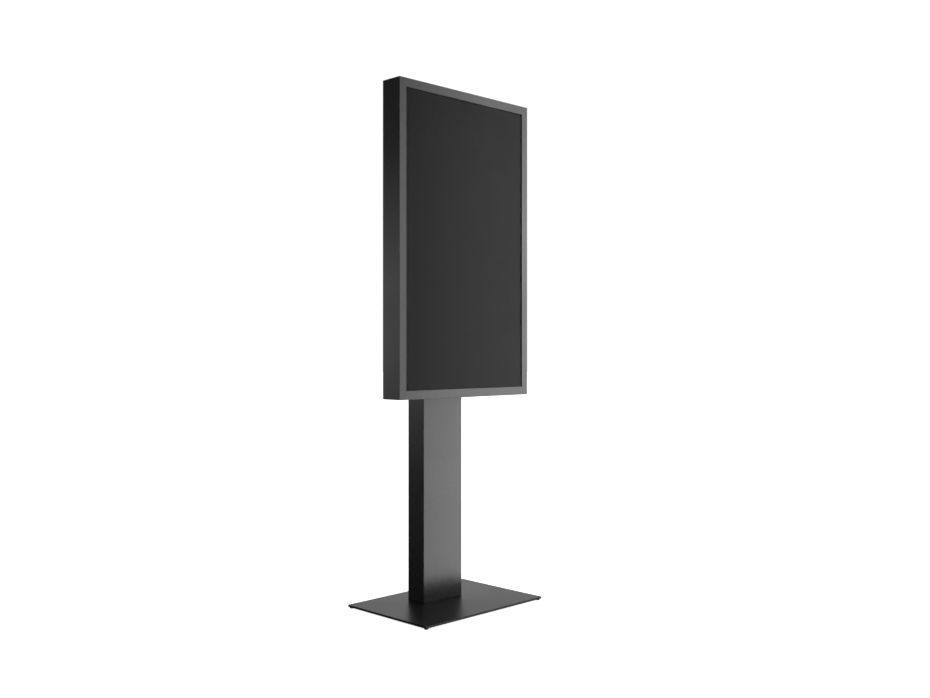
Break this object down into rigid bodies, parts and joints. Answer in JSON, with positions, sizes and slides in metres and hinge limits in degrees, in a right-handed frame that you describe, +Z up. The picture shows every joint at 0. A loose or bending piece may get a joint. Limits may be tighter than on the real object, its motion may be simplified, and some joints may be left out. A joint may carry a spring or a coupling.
{
  "type": "touchscreen kiosk",
  "caption": "Free-standing portrait touchscreen kiosk: flat display head with a hinged front, hung on a slim box column over a flat base plate.",
  "frame": {"origin": "on the floor, under the middle of the base plate, with the levelling feet screwed fully in", "axes": "+Z up; -Y the way the screen faces; +X to the right as seen by someone facing the screen"},
  "size_m": [0.676, 0.433, 1.938],
  "materials": {
    "base_plate": "satin black powder coat",
    "column_bolt_1": "plain steel",
    "column_bolt_2": "plain steel",
    "column_bolt_3": "plain steel",
    "column_bolt_4": "plain steel",
    "column_bracket": "satin black powder coat",
    "column_cap": "matte black",
    "column_cover": "satin black powder coat",
    "column_foot": "plain steel",
    "column_shell": "satin black powder coat",
    "cover_latch_lower": "bright zinc die casting",
    "cover_latch_upper": "bright zinc die casting",
    "display_chassis": "zinc plated",
    "display_rail_left": "zinc plated",
    "display_rail_right": "zinc plated",
    "door_frame": "satin black powder coat",
    "fan_frame_left": "matte black",
    "fan_frame_right": "matte black",
    "fan_rotor_left": "matte black",
    "fan_rotor_right": "matte black",
    "foot_pad_front_left": "matte black",
    "foot_pad_front_right": "matte black",
    "foot_pad_rear_left": "matte black",
    "foot_pad_rear_right": "matte black",
    "foot_stud_front_left": "plain steel",
    "foot_stud_front_right": "plain steel",
    "foot_stud_rear_left": "plain steel",
    "foot_stud_rear_right": "plain steel",
    "glass_clamp_bottom": "zinc plated",
    "glass_clamp_left": "zinc plated",
    "glass_clamp_right": "zinc plated",
    "glass_clamp_top": "zinc plated",
    "glass_gasket": "matte black",
    "hinge_leaf_door_lower": "plain steel",
    "hinge_leaf_door_upper": "plain steel",
    "hinge_leaf_fixed_lower": "plain steel",
    "hinge_leaf_fixed_upper": "plain steel",
    "hinge_pin_lower": "plain steel",
    "hinge_pin_upper": "plain steel",
    "hook_rail_left": "satin black powder coat",
    "hook_rail_right": "satin black powder coat",
    "io_panel": "satin black powder coat",
    "lcd_panel": "black display surface",
    "lock_barrel_lower": "bright zinc die casting",
    "lock_barrel_upper": "bright zinc die casting",
    "lock_cam_lower": "bright zinc die casting",
    "lock_cam_upper": "bright zinc die casting",
    "lock_keeper_lower": "plain steel",
    "lock_keeper_upper": "plain steel",
    "mains_cable": "matte black",
    "mains_inlet": "matte black",
    "media_player": "black anodised",
    "network_socket": "matte black",
    "picture_cable": "matte black",
    "player_button": "matte black",
    "power_rocker": "matte black",
    "power_strip": "matte black",
    "rear_panel": "satin black powder coat",
    "touch_controller": "matte black",
    "touch_glass": "tinted touch glass"
  },
  "bodies": {
    "stand": {"base_plate": "base_plate", "column_bolt_1": "column_bolt_1", "column_bolt_2": "column_bolt_2", "column_bolt_3": "column_bolt_3", "column_bolt_4": "column_bolt_4", "column_bracket": "column_bracket", "column_cap": "column_cap", "column_foot": "column_foot", "column_shell": "column_shell", "display_chassis": "display_chassis", "display_rail_left": "display_rail_left", "display_rail_right": "display_rail_right", "fan_frame_left": "fan_frame_left", "fan_frame_right": "fan_frame_right", "hinge_leaf_fixed_lower": "hinge_leaf_fixed_lower", "hinge_leaf_fixed_upper": "hinge_leaf_fixed_upper", "hinge_pin_lower": "hinge_pin_lower", "hinge_pin_upper": "hinge_pin_upper", "hook_rail_left": "hook_rail_left", "hook_rail_right": "hook_rail_right", "io_panel": "io_panel", "lcd_panel": "lcd_panel", "lock_barrel_lower": "lock_barrel_lower", "lock_barrel_upper": "lock_barrel_upper", "mains_cable": "mains_cable", "mains_inlet": "mains_inlet", "media_player": "media_player", "network_socket": "network_socket", "picture_cable": "picture_cable", "power_strip": "power_strip", "rear_panel": "rear_panel", "touch_controller": "touch_controller"},
    "door": {"door_frame": "door_frame", "touch_glass": "touch_glass", "glass_gasket": "glass_gasket", "glass_clamp_left": "glass_clamp_left", "glass_clamp_right": "glass_clamp_right", "glass_clamp_top": "glass_clamp_top", "glass_clamp_bottom": "glass_clamp_bottom", "hinge_leaf_door_lower": "hinge_leaf_door_lower", "hinge_leaf_door_upper": "hinge_leaf_door_upper", "lock_keeper_lower": "lock_keeper_lower", "lock_keeper_upper": "lock_keeper_upper"},
    "lock_cam_lower": {"lock_cam_lower": "lock_cam_lower"},
    "lock_cam_upper": {"lock_cam_upper": "lock_cam_upper"},
    "column_cover": {"column_cover": "column_cover"},
    "cover_latch_lower": {"cover_latch_lower": "cover_latch_lower"},
    "cover_latch_upper": {"cover_latch_upper": "cover_latch_upper"},
    "fan_rotor_left": {"fan_rotor_left": "fan_rotor_left"},
    "fan_rotor_right": {"fan_rotor_right": "fan_rotor_right"},
    "power_rocker": {"power_rocker": "power_rocker"},
    "player_button": {"player_button": "player_button"},
    "foot_pad_front_left": {"foot_pad_front_left": "foot_pad_front_left"},
    "foot_stud_front_left": {"foot_stud_front_left": "foot_stud_front_left"},
    "foot_pad_front_right": {"foot_pad_front_right": "foot_pad_front_right"},
    "foot_stud_front_right": {"foot_stud_front_right": "foot_stud_front_right"},
    "foot_pad_rear_left": {"foot_pad_rear_left": "foot_pad_rear_left"},
    "foot_stud_rear_left": {"foot_stud_rear_left": "foot_stud_rear_left"},
    "foot_pad_rear_right": {"foot_pad_rear_right": "foot_pad_rear_right"},
    "foot_stud_rear_right": {"foot_stud_rear_right": "foot_stud_rear_right"}
  },
  "joints": [
    {"name": "door_hinge", "type": "hinge", "parent": "stand", "child": "door", "pos_m": [0.3325, -0.018, 1.367], "axis": [0, 0, 1], "range_deg": [0, 110]},
    {"name": "lock_turn_lower", "type": "hinge", "parent": "stand", "child": "lock_cam_lower", "pos_m": [-0.3, -0.023, 1.046], "axis": [0, -1, 0], "range_deg": [0, 90]},
    {"name": "lock_turn_upper", "type": "hinge", "parent": "stand", "child": "lock_cam_upper", "pos_m": [-0.3, -0.023, 1.688], "axis": [0, -1, 0], "range_deg": [0, 90]},
    {"name": "cover_lift_off", "type": "slide", "parent": "stand", "child": "column_cover", "axis": [0, 1, 0], "range_m": [0, 0.15]},
    {"name": "cover_latch_turn_lower", "type": "hinge", "parent": "column_cover", "child": "cover_latch_lower", "pos_m": [0.07, 0.1065, 0.19], "axis": [0, 1, 0], "range_deg": [0, 90]},
    {"name": "cover_latch_turn_upper", "type": "hinge", "parent": "column_cover", "child": "cover_latch_upper", "pos_m": [0.07, 0.1065, 1.48], "axis": [0, 1, 0], "range_deg": [0, 90]},
    {"name": "fan_spin_left", "type": "hinge", "parent": "stand", "child": "fan_rotor_left", "pos_m": [-0.15, -0.0378, 1.853], "axis": [0, 1, 0], "continuous": true},
    {"name": "fan_spin_right", "type": "hinge", "parent": "stand", "child": "fan_rotor_right", "pos_m": [0.15, -0.0378, 1.853], "axis": [0, 1, 0], "continuous": true},
    {"name": "power_rocker_tilt", "type": "hinge", "parent": "stand", "child": "power_rocker", "pos_m": [-0.007, 0.104, 0.06], "axis": [0, 0, -1], "range_deg": [0, 16]},
    {"name": "player_button_press", "type": "slide", "parent": "stand", "child": "player_button", "axis": [0, 0, -1], "range_m": [0, 0.001]},
    {"name": "foot_extend_front_left", "type": "slide", "parent": "stand", "child": "foot_pad_front_left", "axis": [0, 0, -1], "range_m": [0, 0.003]},
    {"name": "foot_screw_front_left", "type": "hinge", "parent": "foot_pad_front_left", "child": "foot_stud_front_left", "pos_m": [-0.2955, -0.206, 0.004], "axis": [0, 0, -1], "range_deg": [0, 1080]},
    {"name": "foot_extend_front_right", "type": "slide", "parent": "stand", "child": "foot_pad_front_right", "axis": [0, 0, -1], "range_m": [0, 0.003]},
    {"name": "foot_screw_front_right", "type": "hinge", "parent": "foot_pad_front_right", "child": "foot_stud_front_right", "pos_m": [0.2955, -0.206, 0.004], "axis": [0, 0, -1], "range_deg": [0, 1080]},
    {"name": "foot_extend_rear_left", "type": "slide", "parent": "stand", "child": "foot_pad_rear_left", "axis": [0, 0, -1], "range_m": [0, 0.003]},
    {"name": "foot_screw_rear_left", "type": "hinge", "parent": "foot_pad_rear_left", "child": "foot_stud_rear_left", "pos_m": [-0.2955, 0.206, 0.004], "axis": [0, 0, -1], "range_deg": [0, 1080]},
    {"name": "foot_extend_rear_right", "type": "slide", "parent": "stand", "child": "foot_pad_rear_right", "axis": [0, 0, -1], "range_m": [0, 0.003]},
    {"name": "foot_screw_rear_right", "type": "hinge", "parent": "foot_pad_rear_right", "child": "foot_stud_rear_right", "pos_m": [0.2955, 0.206, 0.004], "axis": [0, 0, -1], "range_deg": [0, 1080]}
  ],
  "couplings": [
    {"joint": "foot_screw_front_left", "follows": "foot_extend_front_left", "rad_per_m": 6283.2},
    {"joint": "foot_screw_front_right", "follows": "foot_extend_front_right", "rad_per_m": 6283.2},
    {"joint": "foot_screw_rear_left", "follows": "foot_extend_rear_left", "rad_per_m": 6283.2},
    {"joint": "foot_screw_rear_right", "follows": "foot_extend_rear_right", "rad_per_m": 6283.2}
  ]
}
